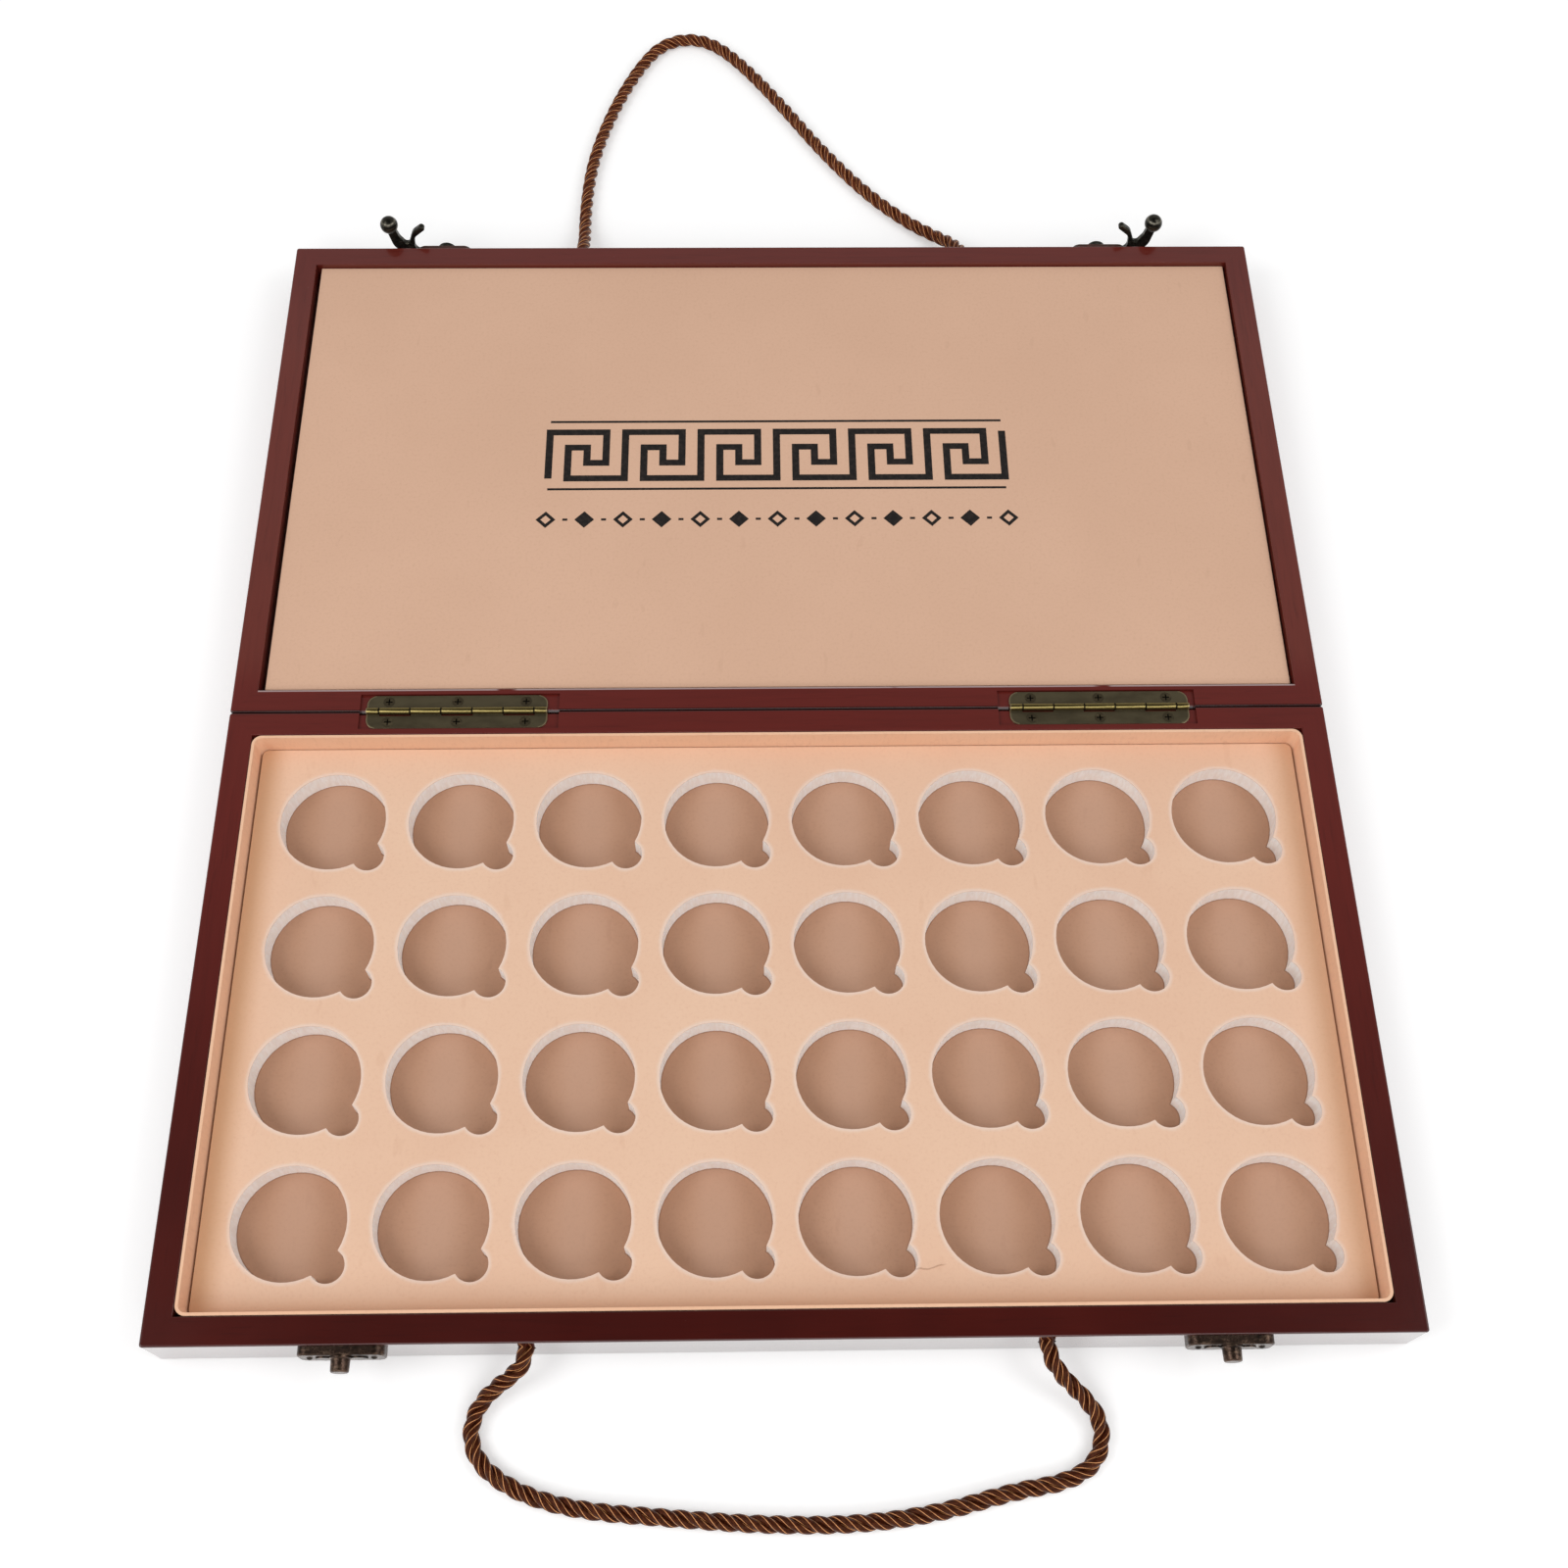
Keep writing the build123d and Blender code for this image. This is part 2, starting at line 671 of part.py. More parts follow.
with BuildPart() as left_latch_lever:
    with BuildSketch(face_plane(LID, -fitting_x, pivot_z, lever_back)) as outline:
        with BuildLine():
            FilletPolyline(
                *[(x, y) for x, y, radius in lever_outline],
                radius=[radius for x, y, radius in lever_outline],
                close=True,
            )
        make_face()
        Circle(lever_hub_r)
        hub_corners = outline.vertices().filter_by(
            lambda vertex: abs(Vector(vertex).length - lever_hub_r) < hole_gap
        )
        fillet(hub_corners, lever_round)
    extrude(amount=lever_t)
    fillet(left_latch_lever.faces().filter_by(Axis.Y).edges(), lever_round)
    ball_plane = face_plane(LID, -fitting_x, pivot_z, lever_back + lever_t / 2 + thumb_ball_proud)
    with Locations(ball_plane):
        with Locations(thumb_ball):
            Sphere(thumb_ball_r)
    with Locations(face_plane(LID, -fitting_x, pivot_z, lever_front)):
        Hole(rivet_r + pin_gap)
save(left_latch_lever, "left_latch_lever")

with BuildPart() as right_latch_lever:
    mirror(left_latch_lever.part, about=Plane.YZ)
save(right_latch_lever, "right_latch_lever")

for side, sign in SIDES.items():
    save(latch_plate(sign), f"{side}_latch_plate")
    save(latch_rivet(sign), f"{side}_latch_rivet")
save(plate_nails(LID, latch_nail_x, latch_plate_z, latch_plate_t), "latch_nails")


# ---------------------------------------------------------------- rope handles
def arc_radii(points):
    """Radius of the tangent arc at each corner of a route."""
    runs = [Vector(*after) - Vector(*before) for before, after in zip(points, points[1:])]
    radii = []
    for run, following in zip(runs, runs[1:]):
        half_turn = radians(run.get_angle(following)) / 2
        radii.append(arc_share * min(run.length, following.length) / tan(half_turn))
    return radii


def rope(route, half):
    """A plain round tube along straight runs joined by tangent arcs, from knot to knot."""
    start = (-cord_hole_x, -knot_seat, cord_hole_z)
    end = (cord_hole_x, -knot_seat, cord_hole_z)
    spread = cord_hole_x / route_half_span
    bends = [(x * spread, out, z) for x, out, z in route]
    points = [(x, half * (far_y + out), z) for x, out, z in [start, *bends, end]]
    radii = arc_radii(points)
    with BuildPart() as tube:
        with BuildLine() as path:
            FilletPolyline(*points, radius=radii)
        with BuildSketch(Plane(origin=path.line @ 0, z_dir=path.line % 0)):
            Circle(cord_d / 2)
        sweep(path=path.line)
    length = sum(edge.length for edge in path.edges())
    print("rope length", round(length, 1), "corner radii", [round(radius, 1) for radius in radii])
    return tube


def rope_knots(half):
    """The stopper knots that sit in the pockets behind the wall."""
    with BuildPart() as knots:
        for sign in SIDES.values():
            x = sign * cord_hole_x
            with BuildSketch(Plane(origin=(x, half * (far_y - knot_seat), cord_hole_z))) as section:
                with Locations((knot_r / 2, -half * knot_t / 2)):
                    Rectangle(knot_r, knot_t)
                fillet(section.vertices().group_by(Axis.X)[-1], knot_edge_r)
            revolve(axis=turning_axis(x, cord_hole_z))
    return knots


for name, half, route in (("base", BASE, base_cord_route), ("lid", LID, lid_cord_route)):
    save(rope(route, half), f"{name}_cord")
    save(rope_knots(half), f"{name}_cord_knots")
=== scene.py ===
"""Folding xiangqi box, dressed for the camera.

Metres; X runs along the hinge line, Y from base to lid, Z up from the table.
"""

import math

import bpy
from mathutils import Matrix, Vector


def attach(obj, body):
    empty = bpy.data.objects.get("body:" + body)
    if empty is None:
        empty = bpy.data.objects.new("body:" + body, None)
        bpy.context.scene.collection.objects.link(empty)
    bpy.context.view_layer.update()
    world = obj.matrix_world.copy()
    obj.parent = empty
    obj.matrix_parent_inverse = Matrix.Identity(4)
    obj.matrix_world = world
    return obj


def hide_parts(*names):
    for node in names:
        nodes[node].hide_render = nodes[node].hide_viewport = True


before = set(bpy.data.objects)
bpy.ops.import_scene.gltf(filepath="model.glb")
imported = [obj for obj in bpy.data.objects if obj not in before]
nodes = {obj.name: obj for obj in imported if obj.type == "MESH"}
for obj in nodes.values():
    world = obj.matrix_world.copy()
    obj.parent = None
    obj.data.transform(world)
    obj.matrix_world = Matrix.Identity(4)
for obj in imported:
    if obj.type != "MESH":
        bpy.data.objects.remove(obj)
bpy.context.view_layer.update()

MM = 0.001
BASE = -1
LID = 1

# ---------------------------------------------------------------- sizes shared with the CAD source
FAR_Y = 0.26815  # outer face of the walls farthest from the hinge line
MIDDLE_Y = 0.13415  # middle of each half
JOINT_INNER_Y = 0.01115  # inner face of the walls along the hinge line
INNER_X = 0.229  # inner face of the side walls
RIM_Z = 0.026
LINER_Z = 0.0235
FLOOR_Z = 0.0046  # tray floor, under the pockets
PAD_HALF_X = 0.2265
PAD_NEAR_Y = -0.25525
POCKET_COLUMNS = 8
POCKET_ROWS = 4
PITCH_X = 0.055
PITCH_Y = 0.0575
POCKET_R = 0.0226
NOTCH_R = 0.0068
NOTCH_SHIFT = 0.016405  # from a pocket's middle to its finger notch, in X and in -Y
HINGE_X = 0.141
LEAF_TOP_Z = 0.0255
LEAF_HALF = 0.0395
LEAF_REACH = 0.00815
LEAF_CORNER = 0.0044
KNUCKLE_PITCH = 0.01354
CORD_HOLE_X = 0.098
CORD_HOLE_Z = 0.015
KNOT_SEAT = 0.004  # how far inside the wall a rope ends at its knot

# ---------------------------------------------------------------- rope threads, for mesh and paint
YARNS = 13  # in each strand
COPPER_THREADS = 4  # in each strand
YARN_LAYER = "yarn"  # UV layer that runs round a strand

# ---------------------------------------------------------------- camera, solved from the photo
SENSOR_MM = 36.0
LENS_MM = 41.057
CAMERA_PLACE = (-0.0104573, -0.3837437, 0.7114172)
CAMERA_RIGHT = (0.99985, -0.013497, 0.010885)
CAMERA_FORWARD = (0.015807, 0.451447, -0.892158)


def make_camera():
    data = bpy.data.cameras.new("camera")
    data.sensor_width = SENSOR_MM
    data.sensor_fit = "HORIZONTAL"
    data.lens = LENS_MM
    data.clip_start = 0.01
    data.clip_end = 20.0
    camera = bpy.data.objects.new("camera", data)
    bpy.context.scene.collection.objects.link(camera)
    right = Vector(CAMERA_RIGHT).normalized()
    forward = Vector(CAMERA_FORWARD).normalized()
    up = right.cross(forward).normalized()
    right = forward.cross(up).normalized()
    turn = Matrix((right, up, -forward)).transposed().to_4x4()
    camera.matrix_world = Matrix.Translation(CAMERA_PLACE) @ turn
    bpy.context.scene.camera = camera


make_camera()


# ---------------------------------------------------------------- small tools
def rgb(red, green, blue):
    """sRGB 0 to 255 as linear RGBA."""
    values = []
    for value in (red, green, blue):
        value /= 255.0
        values.append(value / 12.92 if value <= 0.04045 else ((value + 0.055) / 1.055) ** 2.4)
    return (*values, 1.0)


class Tools:
    """Node shortcuts for a shader tree; each takes numbers or sockets and returns a socket."""

    def __init__(self, tree):
        self.nodes = tree.nodes
        self.links = tree.links

    def feed(self, socket, value):
        if isinstance(value, bpy.types.NodeSocket):
            self.links.new(value, socket)
        else:
            socket.default_value = value

    def step(self, value, low, high, top=1.0):
        """0 at low and top at high, smoothly, whichever of the two is larger."""
        node = self.nodes.new("ShaderNodeMapRange")
        node.interpolation_type = "SMOOTHSTEP"
        self.feed(node.inputs["Value"], value)
        node.inputs["From Min"].default_value = low
        node.inputs["From Max"].default_value = high
        node.inputs["To Max"].default_value = top
        return node.outputs["Result"]

    def math(self, operation, a, b=0.0, c=0.0):
        node = self.nodes.new("ShaderNodeMath")
        node.operation = operation
        for socket, value in zip(node.inputs, (a, b, c)):
            self.feed(socket, value)
        return node.outputs[0]

    def times(self, a, b):
        return self.math("MULTIPLY", a, b)

    def away(self, value, target):
        """How far a value is from a target, without its sign."""
        return self.math("ABSOLUTE", self.math("SUBTRACT", value, target))

    def saw(self, value, pitch):
        """-pitch / 2 to pitch / 2, over and over, as the value rises."""
        return self.math("SUBTRACT", self.math("FLOORED_MODULO", value, pitch), pitch / 2)

    def blend(self, factor, a, b):
        node = self.nodes.new("ShaderNodeMix")
        node.data_type = "RGBA"
        self.feed(node.inputs["Factor"], factor)
        self.feed(node.inputs["A"], a)
        self.feed(node.inputs["B"], b)
        return node.outputs["Result"]

    def tint(self, tone, mask, share, color):
        """A tone with a share of a colour laid over it where the mask is 1."""
        return self.blend(self.times(mask, share), tone, color)

    def split(self, vector):
        """The X, Y and Z of a vector."""
        node = self.nodes.new("ShaderNodeSeparateXYZ")
        self.links.new(vector, node.inputs[0])
        return node.outputs


class Paint(Tools):
    """A material, with coordinates that are the object's own, in metres."""

    def __init__(self, name, **sockets):
        self.material = bpy.data.materials.new(name)
        self.material.use_nodes = True
        super().__init__(self.material.node_tree)
        self.shader = self.nodes["Principled BSDF"]
        self.place = self.nodes.new("ShaderNodeTexCoord").outputs["Object"]
        for key, value in sockets.items():
            self.shader.inputs[key.replace("_", " ")].default_value = value

    def axes(self):
        return self.split(self.place)

    def scaled(self, stretch):
        node = self.nodes.new("ShaderNodeMapping")
        self.links.new(self.place, node.inputs["Vector"])
        node.inputs["Scale"].default_value = stretch
        return node.outputs["Vector"]

    def noise(self, scale, detail=4.0, rough=0.55, stretch=(1, 1, 1), distortion=0.0):
        node = self.nodes.new("ShaderNodeTexNoise")
        self.links.new(self.scaled(stretch), node.inputs["Vector"])
        node.inputs["Scale"].default_value = scale
        node.inputs["Detail"].default_value = detail
        node.inputs["Roughness"].default_value = rough
        node.inputs["Distortion"].default_value = distortion
        return node.outputs["Fac"]

    def cells(self, scale):
        """Distance to the nearest of many scattered points."""
        node = self.nodes.new("ShaderNodeTexVoronoi")
        self.links.new(self.place, node.inputs["Vector"])
        node.inputs["Scale"].default_value = scale
        return node.outputs["Distance"]

    def color(self, value):
        self.feed(self.shader.inputs["Base Color"], value)

    def bump(self, height, distance, strength=1.0, under=None):
        node = self.nodes.new("ShaderNodeBump")
        self.feed(node.inputs["Height"], height)
        node.inputs["Distance"].default_value = distance
        node.inputs["Strength"].default_value = strength
        if under is not None:
            self.links.new(under, node.inputs["Normal"])
        self.links.new(node.outputs["Normal"], self.shader.inputs["Normal"])
        return node.outputs["Normal"]

    def rough(self, value):
        self.feed(self.shader.inputs["Roughness"], value)


# ---------------------------------------------------------------- materials
LIP_HIGHLIGHT_HALF = 0.0006  # half the width of the painted highlight, broken into chips, along the hinge walls' inner edges


def lacquer(name, grain):
    """Dark red-brown lacquer over wood, grained along one axis, with painted shade towards the
    base's near wall and painted light towards the lid.
    """
    paint = Paint(name, Coat_Roughness=0.05, Coat_IOR=1.6, Specular_IOR_Level=0.25)
    stretch = (0.06, 1, 1) if grain == "X" else (1, 0.06, 1)
    place = paint.axes()
    y = place["Y"]
    # Painted shade and light: darker towards the base's near wall, paler over the lid, a little
    # darker again at its far wall.
    body = paint.blend(paint.step(y, -FAR_Y + 0.008, -0.03), rgb(66, 15, 10), rgb(98, 30, 24))
    body = paint.blend(paint.step(y, 0.008, 0.03), body, rgb(106, 44, 35))
    body = paint.blend(paint.step(y, 0.2, FAR_Y - 0.006), body, rgb(98, 34, 27))
    streaks = paint.step(paint.noise(420.0, 5.0, 0.6, stretch, 0.4), 0.35, 0.8)
    tone = paint.tint(body, streaks, 0.16, rgb(34, 8, 6))
    clouds = paint.step(paint.noise(11.0, 3.0), 0.42, 0.75)
    tone = paint.tint(tone, clouds, 0.22, rgb(104, 30, 20))
    pores = paint.step(paint.noise(900.0, 2.0, 0.5, stretch), 0.62, 0.7)
    tone = paint.tint(tone, pores, 0.14, rgb(34, 8, 6))
    dust = paint.step(paint.cells(240.0), 0.05, 0.02)
    sparse = paint.step(paint.noise(60.0, 2.0), 0.6, 0.66)
    tone = paint.tint(tone, paint.times(dust, sparse), 0.4, rgb(160, 116, 104))
    from_hinge = paint.math("ABSOLUTE", y)
    # Painted shade in the gap along the seam between the two halves.
    seam_shade = paint.step(from_hinge, 0.0012, 0.0005)
    tone = paint.tint(tone, seam_shade, 0.8, rgb(16, 6, 5))
    if grain == "X":
        # Painted highlight along the hinge walls' inner top edge, broken into chips.
        off = paint.away(y, JOINT_INNER_Y - 0.0004)
        chips = paint.step(paint.noise(45.0, 2.0, 0.5, (1, 0.01, 0.01)), 0.36, 0.42)
        top = paint.math("GREATER_THAN", place["Z"], RIM_Z - 0.001)
        inside = paint.math("LESS_THAN", paint.math("ABSOLUTE", place["X"]), INNER_X)
        lip = paint.times(paint.step(off, LIP_HIGHLIGHT_HALF, LIP_HIGHLIGHT_HALF / 2), paint.times(top, inside))
        tone = paint.tint(tone, paint.times(lip, chips), 0.55, rgb(206, 188, 186))
    paint.color(tone)
    outer = paint.step(from_hinge, FAR_Y - 0.0006, FAR_Y - 0.0001)
    paint.feed(paint.shader.inputs["Coat Weight"], paint.math("MULTIPLY_ADD", outer, 0.6, 0.4))
    smear = paint.noise(30.0, 4.0, 0.6, (1, 1, 0.5))
    paint.rough(paint.math("ADD", paint.times(smear, 0.1), 0.2))
    paint.bump(paint.noise(120.0, 2.0, 0.4, (0.5, 0.5, 0.5)), 0.00002, 0.25)
    return paint.material


def paper_base(paint, base, mottle, deep):
    """Mottling, fibres and flecks of a matte paper, as a colour."""
    clouds = paint.noise(9.0, 4.0, 0.6, (1, 1, 0.3))
    tone = paint.blend(paint.step(clouds, 0.3, 0.75), base, mottle)
    fine = paint.noise(700.0, 4.0, 0.65, (1, 1, 0.3))
    tone = paint.tint(tone, paint.step(fine, 0.45, 0.8), 0.3, deep)
    flecks = paint.noise(170.0, 2.0, 0.4, (1.0, 0.35, 1))
    return paint.tint(tone, paint.step(flecks, 0.7, 0.76), 0.18, deep)


def paper_wave(paint):
    """The slight waviness of paper over board."""
    return paint.bump(paint.noise(22.0, 2.0, 0.4), 0.0006, 0.25)


def paper_fibre(paint, under, size=1.0):
    """Fine fibres over the waviness, for the light to catch."""
    paint.bump(paint.noise(1500.0, 4.0, 0.7), 0.00004 * size, 0.6, under)


def pocket_distance(paint):
    """Distance to the nearest pocket's outline; below 0 inside a pocket or its finger notch."""
    place = paint.axes()
    from_left = paint.math("ADD", place["X"], PITCH_X * POCKET_COLUMNS / 2)
    from_middle = paint.math("ADD", place["Y"], MIDDLE_Y)
    from_near = paint.math("ADD", from_middle, PITCH_Y * POCKET_ROWS / 2)
    x = paint.saw(from_left, PITCH_X)
    y = paint.saw(from_near, PITCH_Y)

    def ring(shift, radius):
        dx = paint.math("SUBTRACT", x, shift)
        dy = paint.math("ADD", y, shift)
        square = paint.math("MULTIPLY_ADD", dx, dx, paint.times(dy, dy))
        return paint.math("SUBTRACT", paint.math("SQRT", square), radius)

    return paint.math("MINIMUM", ring(0.0, POCKET_R), ring(NOTCH_SHIFT, NOTCH_R))


CREASE_FADE = 0.003


def crease(paint, ends, half_width, bend):
    """A faint wandering line between two places on a sheet, as a mask."""
    (x0, y0), (x1, y1) = ends
    length = math.hypot(x1 - x0, y1 - y0)
    dx, dy = (x1 - x0) / length, (y1 - y0) / length
    place = paint.axes()
    x = paint.math("SUBTRACT", place["X"], x0)
    y = paint.math("SUBTRACT", place["Y"], y0)
    along = paint.math("MULTIPLY_ADD", x, dx, paint.times(y, dy))
    across = paint.math("MULTIPLY_ADD", x, -dy, paint.times(y, dx))
    drift = paint.times(paint.math("SUBTRACT", paint.noise(140.0, 3.0), 0.5), bend)
    off = paint.math("ABSOLUTE", paint.math("ADD", across, drift))
    near = paint.step(off, half_width * 1.6, half_width * 0.5)
    started = paint.step(along, 0.0, CREASE_FADE)
    unended = paint.step(along, length, length - CREASE_FADE)
    return paint.times(near, paint.times(started, unended))


def paper(name, base, mottle, deep, fibre=1.0, creases=(), lipped=False):
    """Matte paper with soft mottling, fibres and faint creases, with painted shade along the
    creases.
    """
    paint = Paint(name, Roughness=0.88, Specular_IOR_Level=0.25, Sheen_Weight=0.08)
    tone = paper_base(paint, base, mottle, deep)
    normal = paper_wave(paint)
    for ends, half_width, bend in creases:
        mark = crease(paint, ends, half_width, bend)
        # Painted shade along each crease.
        tone = paint.tint(tone, mark, 0.4, rgb(150, 100, 74))
        normal = paint.bump(mark, 0.0003, 0.6, normal)
    if lipped:
        tone = lips_and_shade(paint, tone)
    paint.color(tone)
    paper_fibre(paint, normal, fibre)
    return paint.material


def lips_and_shade(paint, tone):
    """Paper paler in a ragged band round the pocket lips, and painted shade: browner along the
    pad's side and near edges.
    """
    place = paint.axes()
    ragged = paint.math("MULTIPLY_ADD", paint.noise(300.0, 3.0), 0.0012, 0.0006)
    lip = paint.step(paint.math("DIVIDE", pocket_distance(paint), ragged), 1.6, 0.1)
    from_middle = paint.math("ABSOLUTE", paint.math("ADD", place["Y"], MIDDLE_Y))
    from_centre = paint.math("ABSOLUTE", place["X"])
    in_x = paint.math("LESS_THAN", from_centre, PITCH_X * POCKET_COLUMNS / 2)
    in_y = paint.math("LESS_THAN", from_middle, PITCH_Y * POCKET_ROWS / 2)
    tone = paint.tint(tone, paint.times(lip, paint.times(in_x, in_y)), 0.5, rgb(238, 222, 212))
    # Painted shade: browner along the pad's left, right and near edges.
    left = paint.step(place["X"], -PAD_HALF_X + 0.014, -PAD_HALF_X + 0.001)
    tone = paint.tint(tone, left, 0.6, rgb(212, 164, 116))
    right = paint.step(place["X"], PAD_HALF_X - 0.014, PAD_HALF_X - 0.001)
    tone = paint.tint(tone, right, 0.4, rgb(212, 164, 116))
    near = paint.step(place["Y"], PAD_NEAR_Y + 0.009, PAD_NEAR_Y + 0.001)
    return paint.tint(tone, near, 0.5, rgb(200, 152, 118))


def tray_paint():
    """Tray paper; the floor that shows through the pockets has painted shade (browner, with a
    painted contact shadow at each pocket's foot) and a soft painted light band.
    """
    paint = Paint("tray_paper", Roughness=0.8, Specular_IOR_Level=0.3, Sheen_Weight=0.08)
    walls = paper_base(paint, rgb(238, 190, 156), rgb(242, 198, 166), rgb(208, 158, 126))
    # Painted shade: the floor is the same paper, made browner where it lies down in the pockets.
    floor = paper_base(paint, rgb(182, 139, 112), rgb(190, 148, 122), rgb(158, 116, 92))
    place = paint.axes()
    from_left = paint.math("ADD", place["X"], PITCH_X * POCKET_COLUMNS / 2)
    from_column = paint.math("ABSOLUTE", paint.saw(from_left, PITCH_X))
    # Painted light: a soft band down the middle of each pocket column.
    floor = paint.tint(floor, paint.step(from_column, 0.014, 0.002), 0.35, rgb(204, 166, 144))
    # Painted contact shadow where the foam meets the floor.
    contact_shadow = paint.step(paint.math("ABSOLUTE", pocket_distance(paint)), 0.0007, 0.0001)
    floor = paint.tint(floor, contact_shadow, 0.5, rgb(110, 74, 54))
    height = paint.step(place["Z"], FLOOR_Z + 0.0002, FLOOR_Z + 0.0012)
    paint.color(paint.blend(height, floor, walls))
    paper_fibre(paint, paper_wave(paint))
    return paint.material


FOAM_CELLS = 1700.0


def foam():
    """Cut edge of fine white foam."""
    paint = Paint("foam", Roughness=0.85, Specular_IOR_Level=0.2, Subsurface_Weight=0.15)
    paint.shader.inputs["Subsurface Radius"].default_value = (0.003, 0.0025, 0.002)
    paint.shader.inputs["Subsurface Scale"].default_value = 0.5
    cut = paint.noise(700.0, 3.0, 0.6, (1, 1, 0.2))
    tone = paint.blend(paint.step(cut, 0.35, 0.7), rgb(246, 238, 232), rgb(253, 249, 246))
    pores = paint.step(paint.cells(FOAM_CELLS), 0.25, 0.12)
    paint.color(paint.tint(tone, pores, 0.25, rgb(214, 198, 186)))
    paint.bump(paint.cells(FOAM_CELLS), 0.00004, 0.4)
    return paint.material


GROOVE_HIGHLIGHTS = ((0.0013, 0.5), (-0.0022, 0.35))  # each painted highlight line's height over the groove, and share


def metal(name, base, worn, deep, roughness, metallic=0.9, raised_z=None, bumpy=0.00005, groove=None):
    """Antiqued metal; raised_z = (low, high) brightens what stands up between those heights.

    groove = (least |X|, height, half width) cuts a ring round a knob, between two painted highlight
    lines.
    """
    paint = Paint(name, Metallic=metallic)
    patches = paint.noise(240.0, 5.0, 0.65)
    tone = paint.blend(paint.step(patches, 0.38, 0.68), base, deep)
    rubbed = paint.step(paint.noise(600.0, 3.0, 0.6, (0.4, 1, 1)), 0.5, 0.75)
    if raised_z:
        raised = paint.step(paint.axes()["Z"], *raised_z)
        rubbed = paint.times(raised, paint.math("ADD", paint.times(rubbed, 0.5), 0.5))
    else:
        rubbed = paint.times(rubbed, 0.35)
    tone = paint.blend(rubbed, tone, worn)
    normal = paint.bump(paint.noise(1300.0, 3.0, 0.6), bumpy, 0.7)
    if groove:
        least_x, height, half_width = groove
        place = paint.axes()
        outside = paint.math("GREATER_THAN", paint.math("ABSOLUTE", place["X"]), least_x)
        off = paint.away(place["Z"], height)
        ring = paint.times(outside, paint.step(off, half_width * 1.5, half_width * 0.6))
        tone = paint.blend(ring, tone, deep)
        # Painted highlights: two bright lines, one above and one below the groove.
        for rise, share in GROOVE_HIGHLIGHTS:
            off = paint.away(place["Z"], height + rise)
            shine = paint.times(outside, paint.step(off, 0.0005, 0.0002))
            tone = paint.tint(tone, shine, share, worn)
        paint.bump(paint.math("SUBTRACT", 1.0, ring), 0.0004, 1.0, normal)
    paint.color(tone)
    paint.rough(paint.math("ADD", paint.times(patches, 0.25), roughness - 0.1))
    return paint.material


def hinge_paint():
    """Antiqued brass, with painted highlights on the leaf edges and rounded ends, a painted
    reflection of two bright lines on a darker barrel, and painted shade between the knuckles.
    """
    paint = Paint("hinge_bronze", Metallic=0.85)
    patches = paint.noise(130.0, 4.0, 0.6, (0.4, 1, 1))
    tone = paint.blend(paint.step(patches, 0.35, 0.75), rgb(112, 102, 78), rgb(88, 79, 60))
    place = paint.axes()
    from_pin = paint.math("ABSOLUTE", place["Y"])
    # Painted highlight on the leaves' bevelled top edges.
    edge_highlight = paint.step(place["Z"], LEAF_TOP_Z - 0.00002, LEAF_TOP_Z - 0.00008)
    tone = paint.tint(tone, edge_highlight, 0.7, rgb(200, 188, 158))
    # Painted reflection on the barrel: two highlight lines on a darker tone.
    raised = paint.step(place["Z"], LEAF_TOP_Z + 0.0004, LEAF_TOP_Z + 0.0009)
    lines = paint.step(paint.away(from_pin, 0.0008), 0.0004, 0.0001)
    barrel = paint.tint(rgb(84, 72, 38), lines, 0.85, rgb(196, 178, 112))
    tone = paint.blend(raised, tone, barrel)
    along = paint.away(paint.math("ABSOLUTE", place["X"]), HINGE_X)

    def past(value, limit):
        return paint.math("MAXIMUM", paint.math("SUBTRACT", value, limit), 0.0)

    past_x = past(along, LEAF_HALF - LEAF_CORNER)
    past_y = past(from_pin, LEAF_REACH - LEAF_CORNER)
    square = paint.math("MULTIPLY_ADD", past_x, past_x, paint.times(past_y, past_y))
    corner = paint.step(paint.math("SQRT", square), LEAF_CORNER - 0.0007, LEAF_CORNER - 0.0003)
    ends = paint.times(corner, paint.math("GREATER_THAN", past_x, 0.0005))
    # Painted highlight round the leaves' rounded ends.
    tone = paint.tint(tone, ends, 0.55, rgb(176, 160, 124))
    # Painted shade in the gaps between knuckles.
    from_joint = paint.math("ABSOLUTE", paint.saw(along, KNUCKLE_PITCH))
    knuckle_gap_shade = paint.step(from_joint, 0.0005, 0.00022)
    tone = paint.tint(tone, knuckle_gap_shade, raised, rgb(18, 13, 8))
    paint.color(tone)
    paint.rough(paint.math("MULTIPLY_ADD", patches, 0.2, 0.3))
    paint.bump(paint.noise(1300.0, 3.0, 0.6), 0.00004, 0.6)
    return paint.material


SQUARE = 0.054  # side of the board's squares
LINE_HALF = 0.0007  # half the width of its lines
BORDER_GAP = 0.008  # from the outermost lines to the border


